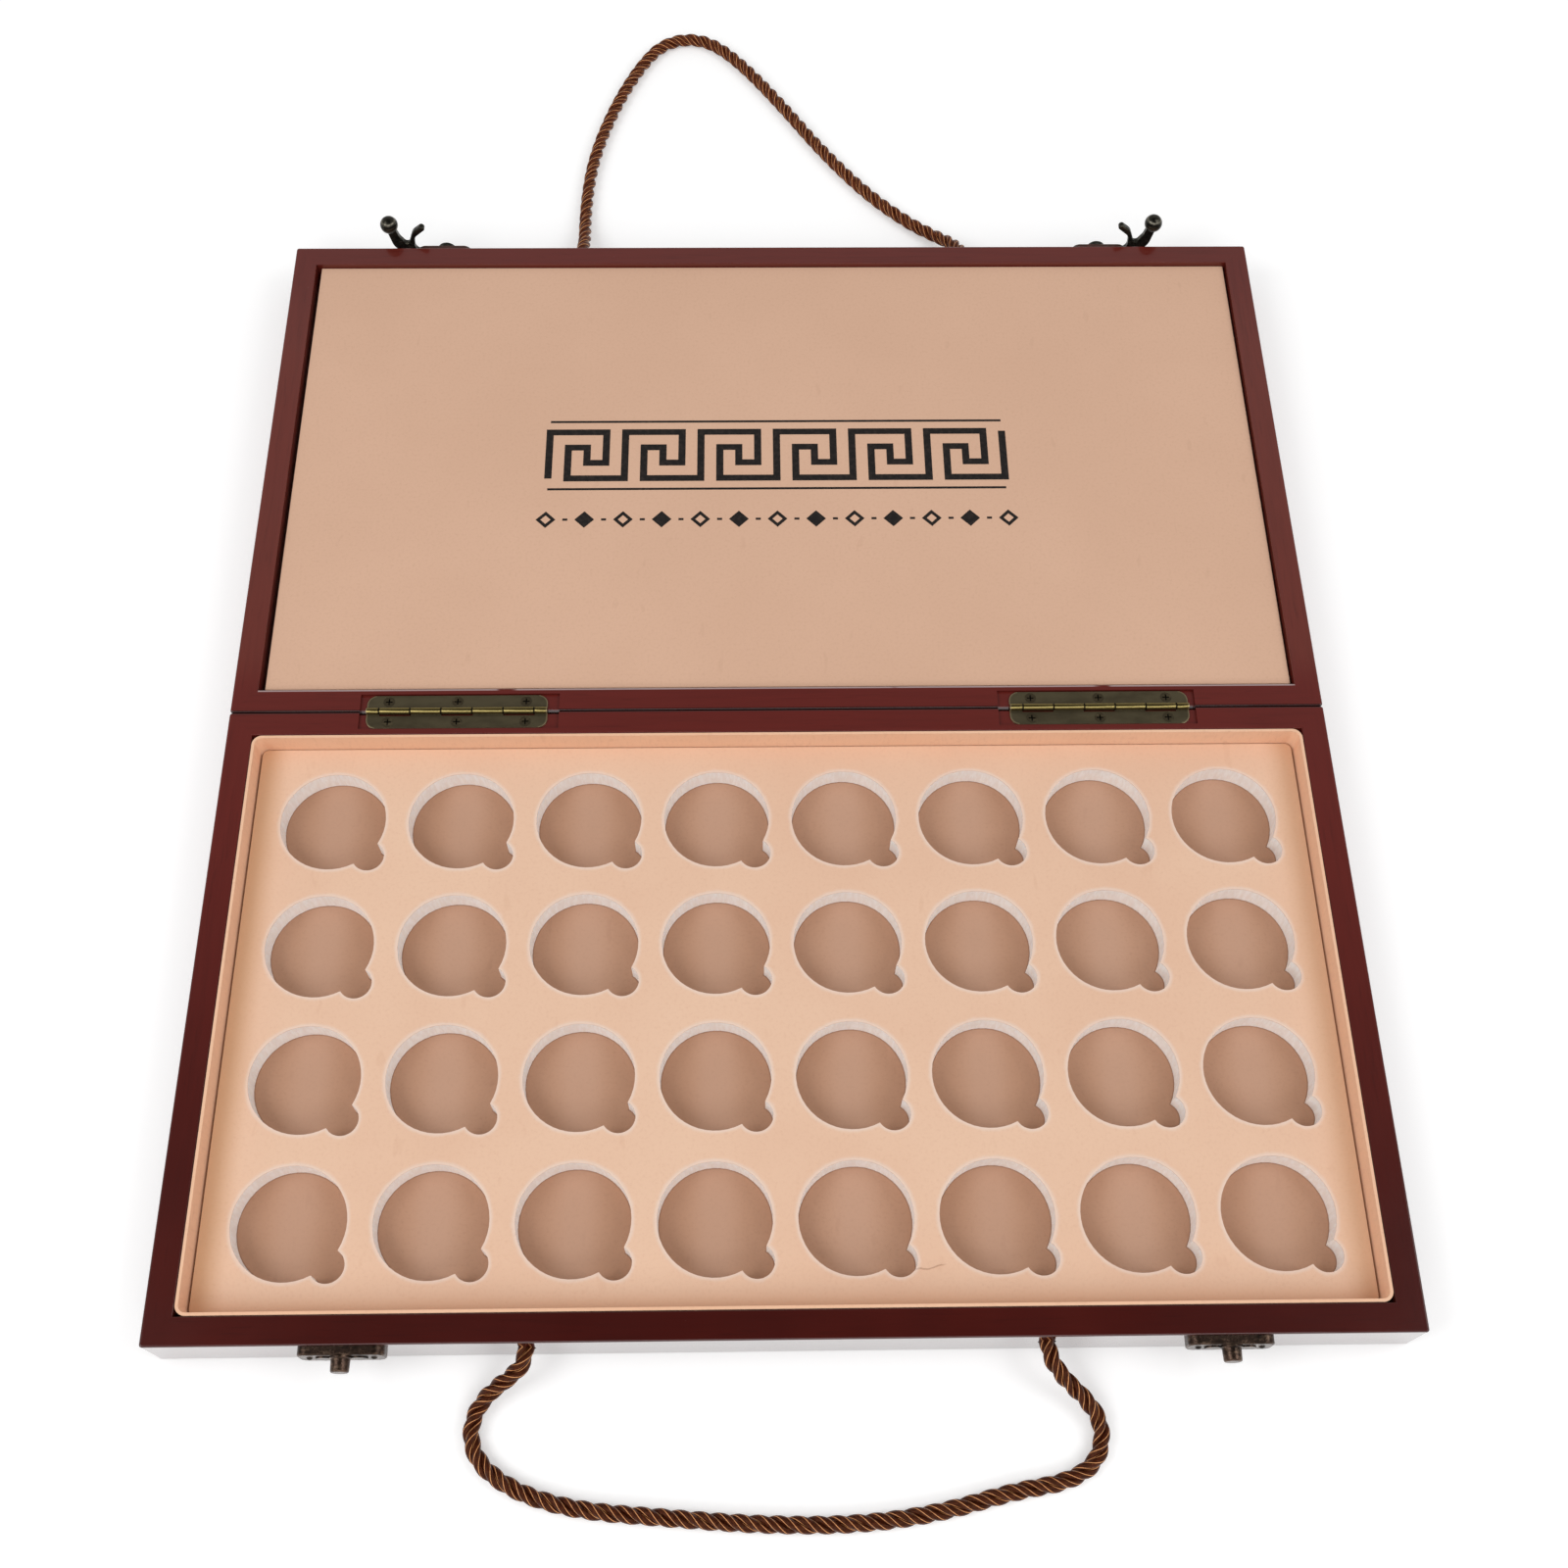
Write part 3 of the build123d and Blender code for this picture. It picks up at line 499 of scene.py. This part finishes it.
def board_paint():
    """Varnished board with the traditional nine by five lines of one half of the game."""
    paint = Paint("playing_board", Coat_Weight=0.3, Coat_Roughness=0.15)
    grain = paint.noise(160.0, 5.0, 0.6, (0.05, 1, 1), 0.8)
    rings = paint.noise(30.0, 3.0, 0.5, (0.08, 1, 1))
    wood = paint.blend(paint.step(grain, 0.3, 0.75), rgb(206, 158, 104), rgb(183, 132, 80))
    wood = paint.tint(wood, paint.step(rings, 0.4, 0.65), 0.4, rgb(160, 108, 62))
    place = paint.axes()
    x = place["X"]
    from_centre = paint.math("ABSOLUTE", x)
    y = paint.math("ABSOLUTE", place["Y"])

    def near(value, target, half_width=LINE_HALF):
        return paint.math("LESS_THAN", paint.away(value, target), half_width)

    def within(value, low, high):
        above = paint.math("GREATER_THAN", value, low)
        return paint.times(above, paint.math("LESS_THAN", value, high))

    def grid(value, shift):
        return near(paint.saw(paint.math("ADD", value, shift), SQUARE), 0.0)

    side = 4 * SQUARE
    first = SQUARE / 2
    last = first + 4 * SQUARE
    reach = BORDER_GAP + 2 * LINE_HALF
    in_x = within(x, -side - LINE_HALF, side + LINE_HALF)
    in_y = within(y, first - LINE_HALF, last + LINE_HALF)
    inside = paint.times(in_x, in_y)
    rise = paint.math("SUBTRACT", last - SQUARE, y)
    slope = near(from_centre, paint.math("ABSOLUTE", rise), LINE_HALF * 1.4)
    border = near(from_centre, side + BORDER_GAP, 2 * LINE_HALF)
    cap = near(y, last + BORDER_GAP, 2 * LINE_HALF)
    lines = paint.times(grid(x, SQUARE / 2), inside)
    for line, where in (
        (grid(y, 0.0), inside),
        (near(from_centre, side), within(y, -1.0, last + LINE_HALF)),
        (slope, paint.times(within(x, -SQUARE, SQUARE), within(y, last - 2 * SQUARE, last))),
        (border, within(y, -1.0, last + reach)),
        (cap, within(x, -side - reach, side + reach)),
    ):
        lines = paint.math("MAXIMUM", lines, paint.times(line, where))
    worn = paint.step(paint.noise(300.0, 3.0), 0.25, 0.4)
    ink = paint.times(lines, paint.math("ADD", paint.times(worn, 0.25), 0.7))
    paint.color(paint.blend(ink, wood, rgb(38, 18, 12)))
    paint.rough(0.35)
    paint.bump(grain, 0.00008, 0.4)
    return paint.material


def rope_paint():
    """Satin yarns with a few copper threads, painted shade between the yarns, and the lid's rope
    paler as painted light: U runs round a strand, a little along it.
    """
    paint = Paint("rope", Roughness=0.4, Sheen_Weight=0.04, Specular_IOR_Level=0.3)
    paint.shader.inputs["Sheen Tint"].default_value = rgb(200, 120, 80)
    paint.shader.inputs["Specular Tint"].default_value = rgb(255, 196, 160)
    layer = paint.nodes.new("ShaderNodeUVMap")
    layer.uv_map = YARN_LAYER
    around = paint.split(layer.outputs["UV"])["X"]

    def from_middle(count):
        """0 at the middle of each thread and 0.5 between two."""
        return paint.away(paint.math("FRACT", paint.times(around, count)), 0.5)

    yarns = from_middle(YARNS)
    threads = paint.noise(900.0, 3.0, 0.6)
    # Painted light: the lid's rope is made paler than the base's.
    lid_light = paint.step(paint.axes()["Y"], 0.0, 0.1)  # the lid's rope is paler in the photo
    deep = paint.blend(lid_light, rgb(50, 17, 6), rgb(66, 26, 13))
    warm = paint.blend(lid_light, rgb(80, 32, 13), rgb(106, 48, 24))
    brown = paint.blend(paint.step(threads, 0.3, 0.7), deep, warm)
    # Painted shade in the gaps between yarns.
    brown = paint.blend(paint.step(yarns, 0.32, 0.5), brown, rgb(18, 5, 2))
    copper = paint.step(from_middle(COPPER_THREADS), 0.07, 0.035)
    gold = paint.blend(threads, rgb(208, 126, 72), rgb(250, 190, 132))
    paint.color(paint.blend(copper, brown, gold))
    paint.rough(paint.math("MULTIPLY_ADD", threads, 0.2, 0.3))
    paint.bump(paint.math("SUBTRACT", 0.5, yarns), 0.00014, 0.7)
    return paint.material


def ink_paint():
    """Printing ink, a little patchy."""
    paint = Paint("print_ink", Roughness=0.6, Specular_IOR_Level=0.3)
    patchy = paint.noise(500.0, 3.0, 0.6)
    paint.color(paint.blend(paint.step(patchy, 0.4, 0.75), rgb(24, 19, 17), rgb(44, 36, 32)))
    paint.bump(paint.noise(1500.0, 3.0), 0.00002, 0.5)
    return paint.material


CAP_GROOVE = (0.1884, 0.0357, 0.0003)  # round the upper part of each thumb ball
PAD_CREASES = (  # ends, half width and how far the line wanders
    (((-0.1060, -0.2262), (-0.0975, -0.2225)), 0.0003, 0.004),
    (((0.0450, -0.2420), (0.0620, -0.2385)), 0.00025, 0.003),
    (((-0.0800, -0.0440), (-0.0730, -0.0405)), 0.0002, 0.002),
)
looks = {
    "wood_x": lacquer("lacquer_x", "X"),
    "wood_y": lacquer("lacquer_y", "Y"),
    "tray": tray_paint(),
    "pad": paper(
        "pad_paper", rgb(236, 198, 170), rgb(230, 189, 161), rgb(214, 168, 138),
        fibre=1.4, creases=PAD_CREASES, lipped=True,
    ),
    "liner": paper("liner_paper", rgb(217, 176, 149), rgb(222, 181, 154), rgb(196, 154, 128)),
    "foam": foam(),
    "board": board_paint(),
    "hinge": hinge_paint(),
    "pin": metal("hinge_pin", rgb(84, 72, 44), rgb(150, 130, 84), rgb(58, 48, 30), 0.4),
    "nail": metal("nail_steel", rgb(46, 38, 32), rgb(110, 96, 80), rgb(26, 20, 17), 0.4),
    "screw": metal(
        "screw_bronze", rgb(30, 25, 20), rgb(112, 100, 76), rgb(16, 13, 10), 0.4,
        metallic=0.85, raised_z=(0.0250, 0.0253),
    ),
    # The plate's top edge is tinted reddish, between these heights.
    "plate": metal(
        "plate_black", rgb(52, 50, 42), rgb(98, 56, 50), rgb(22, 21, 18), 0.3,
        metallic=0.5, raised_z=(0.0246, 0.0252),
    ),
    "catch": metal(
        "catch_bronze", rgb(78, 60, 50), rgb(170, 140, 116), rgb(36, 27, 22), 0.26,
        metallic=0.85, bumpy=0.00016,
    ),
    "latch": metal(
        "latch_black", rgb(52, 50, 42), rgb(140, 134, 120), rgb(22, 21, 18), 0.26,
        metallic=0.8, bumpy=0.00014, groove=CAP_GROOVE,
    ),
    "rope": rope_paint(),
    "ink": ink_paint(),
}


LOOK_BY_ENDING = (
    ("front_wall", "wood_x"), ("hinge_wall", "wood_x"), ("_wall", "wood_y"), ("_board", "board"),
    ("tray_shell", "tray"), ("pocket_pad", "foam"), ("lid_filler", "foam"), ("pad_cover", "pad"),
    ("lid_liner", "liner"), ("_leaf", "hinge"), ("_pin", "pin"), ("_screws", "screw"),
    ("_nails", "nail"), ("_cord_knots", "rope"), ("_cord", "rope"), ("_latch_plate", "plate"),
)


def look_of(node):
    for ending, name in LOOK_BY_ENDING:
        if node.endswith(ending):
            return looks[name]
    return looks["catch"] if "catch" in node else looks["latch"]


# ---------------------------------------------------------------- CAD nodes: looks and fine bevels
BEVELS = {"tray_shell": 0.3 * MM, "lid_liner": 0.4 * MM, "pad_cover": 0.1 * MM}
LEAF_BEVEL = 0.12 * MM
WELD_REACH = 0.000002


def dress(node, bevel):
    item = nodes[node]
    item.data.materials.clear()
    item.data.materials.append(look_of(node))
    if bevel:
        weld = item.modifiers.new("weld", "WELD")
        weld.merge_threshold = WELD_REACH
        round_off = item.modifiers.new("bevel", "BEVEL")
        round_off.width = bevel
        round_off.segments = 2
        round_off.limit_method = "ANGLE"
        round_off.angle_limit = math.radians(50)
        round_off.use_clamp_overlap = True


for node in nodes:
    dress(node, LEAF_BEVEL if node.endswith("_leaf") else BEVELS.get(node, 0.0))


def mesh_object(name, verts, faces, material, smooth=True):
    mesh = bpy.data.meshes.new(name)
    mesh.from_pydata([tuple(v) for v in verts], [], faces)
    mesh.validate()
    mesh.materials.append(material)
    for polygon in mesh.polygons:
        polygon.use_smooth = smooth
    item = bpy.data.objects.new(name, mesh)
    bpy.context.scene.collection.objects.link(item)
    return item


# ---------------------------------------------------------------- printed fret on the lid liner
INK_T = 0.00006
INK_Z = LINER_Z + INK_T
LINER_MIDDLE_X = 0.0006
FRET_UNIT = 0.009
FRET_REPEATS = 6
FRET_STROKE = 0.0034
FRET_Y = 0.1265  # lower line of the fret
RULE_GAP = 0.0062
RULE_STROKE = 0.0012
LOZENGE_Y = 0.1030
LOZENGE_COUNT = 13
LOZENGE_REACH = 0.0046
LOZENGE_HOLE = 0.52  # share of the reach that a hollow one leaves open
DASH_CLEAR = 1.7 * LOZENGE_REACH  # from a lozenge's middle to the dash beside it
FRET_STEPS = [(0, 0), (0, 3), (3, 3), (3, 1), (2, 1), (2, 2), (1, 2), (1, 0)]
FRET_PERIOD = 4  # units from one repeat to the next
FRET_HEIGHT = 3


def stroke(verts, faces, points, width):
    """A flat line of even width through points that turn square corners."""
    rim = []
    for i, point in enumerate(points):
        sides = []
        for a, b in ((i - 1, i), (i, i + 1)):
            if 0 <= a and b < len(points):
                along = (points[b] - points[a]).normalized()
                sides.append(Vector((-along.y, along.x)))
        reach = sides[0] if len(sides) == 1 or sides[0] == sides[-1] else sides[0] + sides[-1]
        rim.append((point + reach * width / 2, point - reach * width / 2))
    first = len(verts)
    for left, right in rim:
        verts += [(*left, INK_Z), (*right, INK_Z)]
    for i in range(len(rim) - 1):
        a = first + 2 * i
        faces.append((a, a + 1, a + 3, a + 2))


def lozenge(verts, faces, x, y, reach, hollow):
    """A diamond; a hollow one is a ring of four quads."""
    corners = [(1, 0), (0, 1), (-1, 0), (0, -1)]
    first = len(verts)
    verts += [(x + reach * dx, y + reach * dy, INK_Z) for dx, dy in corners]
    if not hollow:
        faces.append((first, first + 1, first + 2, first + 3))
        return
    inner = reach * LOZENGE_HOLE
    verts += [(x + inner * dx, y + inner * dy, INK_Z) for dx, dy in corners]
    for i in range(4):
        j = (i + 1) % 4
        faces.append((first + i, first + j, first + 4 + j, first + 4 + i))


def make_fret():
    """A running key fret between two rules, over a row of lozenges, in dark ink."""
    verts = []
    faces = []
    width = FRET_UNIT * FRET_PERIOD * FRET_REPEATS
    top = FRET_Y + FRET_UNIT * FRET_HEIGHT
    left = LINER_MIDDLE_X - width / 2
    right = left + width
    path = [
        Vector((left + FRET_UNIT * (FRET_PERIOD * i + x), FRET_Y + FRET_UNIT * y))
        for i in range(FRET_REPEATS)
        for x, y in FRET_STEPS
    ]
    path += [Vector((right, FRET_Y)), Vector((right, top))]
    stroke(verts, faces, path, FRET_STROKE)
    for y in (FRET_Y - RULE_GAP, top + RULE_GAP):
        stroke(verts, faces, [Vector((left, y)), Vector((right, y))], RULE_STROKE)
    pitch = width / (LOZENGE_COUNT - 1)
    for i in range(LOZENGE_COUNT):
        x = left + pitch * i
        lozenge(verts, faces, x, LOZENGE_Y, LOZENGE_REACH, i % 2 == 0)
        if i:
            dash = (x - pitch + DASH_CLEAR, x - DASH_CLEAR)
            stroke(verts, faces, [Vector((end, LOZENGE_Y)) for end in dash], RULE_STROKE)
    fret = mesh_object("liner_fret", verts, faces, looks["ink"], smooth=False)
    solid = fret.modifiers.new("ink", "SOLIDIFY")
    solid.thickness = INK_T
    solid.offset = -1.0
    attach(fret, "lid")


make_fret()


# ---------------------------------------------------------------- ropes
# X, distance out from the wall and Z in mm, from hole to hole
BASE_ROUTE = [
    (-98.0, 5.2, 15.0), (-104.8, 10.2, 10.8), (-112.2, 14.6, 6.6), (-117.5, 21.0, 4.0),
    (-119.2, 29.8, 3.3), (-115.7, 38.6, 3.3), (-107.4, 45.6, 3.3), (-95.0, 51.6, 3.3),
    (-76.0, 56.3, 3.3), (-47.0, 58.9, 3.3), (-12.0, 61.8, 3.3), (24.0, 62.4, 3.3),
    (55.0, 58.8, 3.3), (84.0, 51.4, 3.3), (101.7, 48.9, 3.3), (113.0, 43.7, 3.3),
    (117.8, 35.5, 3.5), (117.2, 26.1, 4.7), (111.5, 18.9, 7.1), (104.6, 13.4, 10.8),
    (98.0, 5.2, 15.0),
]
LID_ROUTE = [
    (-98.0, 5.1, 15.0), (-97.4, 13.6, 11.5), (-97.4, 23.8, 7.0), (-98.0, 37.8, 3.8),
    (-97.6, 57.8, 3.3), (-95.6, 79.8, 3.3), (-90.2, 104.8, 3.3), (-81.4, 131.6, 3.3),
    (-71.2, 154.4, 3.3), (-60.5, 170.6, 3.3), (-45.6, 176.5, 3.3), (-30.3, 171.7, 3.3),
    (-13.4, 153.2, 3.3), (6.6, 123.8, 3.3), (27.6, 89.8, 3.3), (50.4, 59.0, 3.3),
    (71.4, 38.4, 3.3), (85.4, 27.6, 4.5), (94.2, 17.8, 9.0), (98.0, 5.6, 15.0),
]
ROUTE_FINENESS = 24  # steps on the curve between the route's points
STRANDS = 3
STRAND_SIDES = 24
STRAND_R = 0.00155
HELIX_R = 0.00172
ROPE_STEP = 0.0006
ROPE_LAY = 0.0216  # one full turn of a strand
YARN_TURN = 0.075  # one full turn of the yarns within a strand
YARN_RIB = 0.02  # share of the strand's radius
U_SHIFT = 100.0  # keeps U above 0
V_SCALE = 10  # V for each metre of rope


def route_line(name, route, half):
    """The evaluated NURBS line through a route, as points."""
    points = [Vector((x * MM, half * (FAR_Y + out * MM), z * MM)) for x, out, z in route]
    start, end = (
        Vector((x, half * (FAR_Y - KNOT_SEAT), CORD_HOLE_Z)) for x in (-CORD_HOLE_X, CORD_HOLE_X)
    )
    points = [start, *points, end]
    curve = bpy.data.curves.new(name, "CURVE")
    curve.dimensions = "3D"
    curve.resolution_u = ROUTE_FINENESS
    spline = curve.splines.new("NURBS")
    spline.points.add(len(points) - 1)
    for point, place in zip(spline.points, points):
        point.co = (*place, 1.0)
    spline.order_u = 3
    spline.use_endpoint_u = True
    spline.resolution_u = ROUTE_FINENESS
    holder = bpy.data.objects.new(name, curve)
    bpy.context.scene.collection.objects.link(holder)
    bpy.context.view_layer.update()
    mesh = bpy.data.meshes.new_from_object(holder)
    line = [vertex.co.copy() for vertex in mesh.vertices]
    bpy.data.objects.remove(holder)
    bpy.data.curves.remove(curve)
    bpy.data.meshes.remove(mesh)
    return line


def even_steps(line, step):
    """Points at an even spacing along a dense line, and the line's length."""
    total = sum((b - a).length for a, b in zip(line, line[1:]))
    count = max(2, round(total / step))
    spacing = total / count
    places = [line[0].copy()]
    gone = 0.0
    target = spacing
    for a, b in zip(line, line[1:]):
        length = (b - a).length
        while length > 0 and target <= gone + length + 1e-12 and len(places) < count:
            places.append(a.lerp(b, (target - gone) / length))
            target += spacing
        gone += length
    places.append(line[-1].copy())
    return places, total


def steady_frames(places):
    """Side and lift at each point, square to the line and without twist."""
    frames = []
    side = None
    for i in range(len(places)):
        before = places[max(i - 1, 0)]
        after = places[min(i + 1, len(places) - 1)]
        tangent = (after - before).normalized()
        if side is None:
            side = tangent.cross(Vector((0, 0, 1))).normalized()
        side = (side - tangent * side.dot(tangent)).normalized()
        frames.append((side, tangent.cross(side)))
    return frames


def make_rope(name, route, half):
    """Three ribbed strands round the route's line, and the points of that line."""
    line = route_line(name + "_line", route, half)
    places, total = even_steps(line, ROPE_STEP)
    frames = steady_frames(places)
    step = total / (len(places) - 1)
    verts = []
    faces = []
    turns = []
    for strand in range(STRANDS):
        phase = math.tau * strand / STRANDS
        centres = []
        for i, (side, lift) in enumerate(frames):
            angle = phase + math.tau * i * step / ROPE_LAY
            out = side * math.cos(angle) + lift * math.sin(angle)
            centres.append((places[i] + out * HELIX_R, out))
        offset = len(verts)
        for i, (centre, out) in enumerate(centres):
            before = centres[max(i - 1, 0)][0]
            after = centres[min(i + 1, len(centres) - 1)][0]
            along = (after - before).normalized()
            outward = (out - along * out.dot(along)).normalized()
            across = along.cross(outward)
            for k in range(STRAND_SIDES):
                angle = math.tau * k / STRAND_SIDES
                turned = YARNS * (angle - math.tau * i * step / YARN_TURN)
                radius = STRAND_R * (1.0 + YARN_RIB * math.cos(turned))
                round_out = outward * math.cos(angle) * radius
                verts.append(centre + round_out + across * math.sin(angle) * radius)
                turns.append((k, i))
        for i in range(len(centres) - 1):
            for k in range(STRAND_SIDES):
                a = offset + i * STRAND_SIDES + k
                b = offset + i * STRAND_SIDES + (k + 1) % STRAND_SIDES
                faces.append((a, b, b + STRAND_SIDES, a + STRAND_SIDES))
        faces.append([offset + k for k in range(STRAND_SIDES)][::-1])
        last = offset + (len(centres) - 1) * STRAND_SIDES
        faces.append([last + k for k in range(STRAND_SIDES)])
    rope = mesh_object(name, verts, faces, looks["rope"])
    layer = rope.data.uv_layers.new(name=YARN_LAYER)
    for polygon in rope.data.polygons:
        ks = [turns[v][0] for v in polygon.vertices]
        at_seam = max(ks) - min(ks) > STRAND_SIDES / 2 and len(ks) == 4
        for loop in polygon.loop_indices:
            k, i = turns[rope.data.loops[loop].vertex_index]
            if at_seam and k == 0:
                k = STRAND_SIDES
            around = k / STRAND_SIDES - i * step / YARN_TURN
            layer.data[loop].uv = (around + U_SHIFT, i * step * V_SCALE)
    return rope, places


for body, route, half, length in (
    ("base", BASE_ROUTE, BASE, 0.3469),
    ("lid", LID_ROUTE, LID, 0.4376),
):
    rope, path = make_rope(f"{body}_rope", route, half)
    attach(rope, body)
    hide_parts(f"{body}_cord")


# ---------------------------------------------------------------- floor, world and lamps
FLOOR_REACH = 6.0
FLOOR_DROP = 0.0001
CAMERA_GLOW = 0.3  # how much the floor glows to the camera
MIRRORED_GLOW = 0.42  # and in reflections
WORLD_LEVEL = 0.5
DARK_FROM = 0.7  # upward part of a reflected direction where the dark patch overhead begins
DARK_BY = 0.97
DARK_SHARE = 0.9
LAMP_TARGET = Vector((0, 0, 0))


def make_floor():
    mesh = bpy.data.meshes.new("floor")
    corners = [(-1, -1), (1, -1), (1, 1), (-1, 1)]
    verts = [(x * FLOOR_REACH, y * FLOOR_REACH, 0) for x, y in corners]
    mesh.from_pydata(verts, [], [(0, 1, 2, 3)])
    floor = bpy.data.objects.new("floor", mesh)
    bpy.context.scene.collection.objects.link(floor)
    floor.location.z = -FLOOR_DROP
    paint = Paint("floor", Roughness=0.9, Specular_IOR_Level=0.1)
    paint.color(rgb(240, 240, 240))
    rays = paint.nodes.new("ShaderNodeLightPath").outputs
    mirrored = paint.times(rays["Is Glossy Ray"], MIRRORED_GLOW)
    glow = paint.math("MULTIPLY_ADD", rays["Is Camera Ray"], CAMERA_GLOW, mirrored)
    paint.shader.inputs["Emission Color"].default_value = (1, 1, 1, 1)
    paint.feed(paint.shader.inputs["Emission Strength"], glow)
    mesh.materials.append(paint.material)


def make_world():
    """White to the camera, plain to the surfaces, and darker overhead in reflections."""
    world = bpy.data.worlds.new("world")
    bpy.context.scene.world = world
    world.use_nodes = True
    tools = Tools(world.node_tree)
    rays = tools.nodes.new("ShaderNodeLightPath").outputs
    upward = tools.split(tools.nodes.new("ShaderNodeTexCoord").outputs["Generated"])["Z"]
    overhead = tools.step(upward, DARK_FROM, DARK_BY, WORLD_LEVEL * DARK_SHARE)
    darker = tools.times(rays["Is Glossy Ray"], overhead)
    level = tools.math("MULTIPLY_ADD", rays["Is Camera Ray"], 1.0 - WORLD_LEVEL, WORLD_LEVEL)
    background = tools.nodes["Background"]
    background.inputs["Color"].default_value = (1, 1, 1, 1)
    tools.feed(background.inputs["Strength"], tools.math("SUBTRACT", level, darker))


def make_lamp(name, place, size, power):
    """An area lamp that faces the middle of the hinge line."""
    data = bpy.data.lights.new(name, "AREA")
    data.shape = "RECTANGLE"
    data.size, data.size_y = size
    data.energy = power
    lamp = bpy.data.objects.new(name, data)
    bpy.context.scene.collection.objects.link(lamp)
    lamp.location = place
    facing = LAMP_TARGET - Vector(place)
    lamp.rotation_euler = facing.to_track_quat("-Z", "Y").to_euler()


make_floor()
make_world()
make_lamp("key", (-1.3, -0.5, 1.5), (1.0, 1.0), 11.0)
make_lamp("fill", (1.4, -0.3, 1.5), (1.0, 1.0), 9.0)
make_lamp("front", (0.0, -1.7, 1.3), (1.6, 0.8), 9.0)

bpy.context.scene.view_settings.view_transform = "Standard"
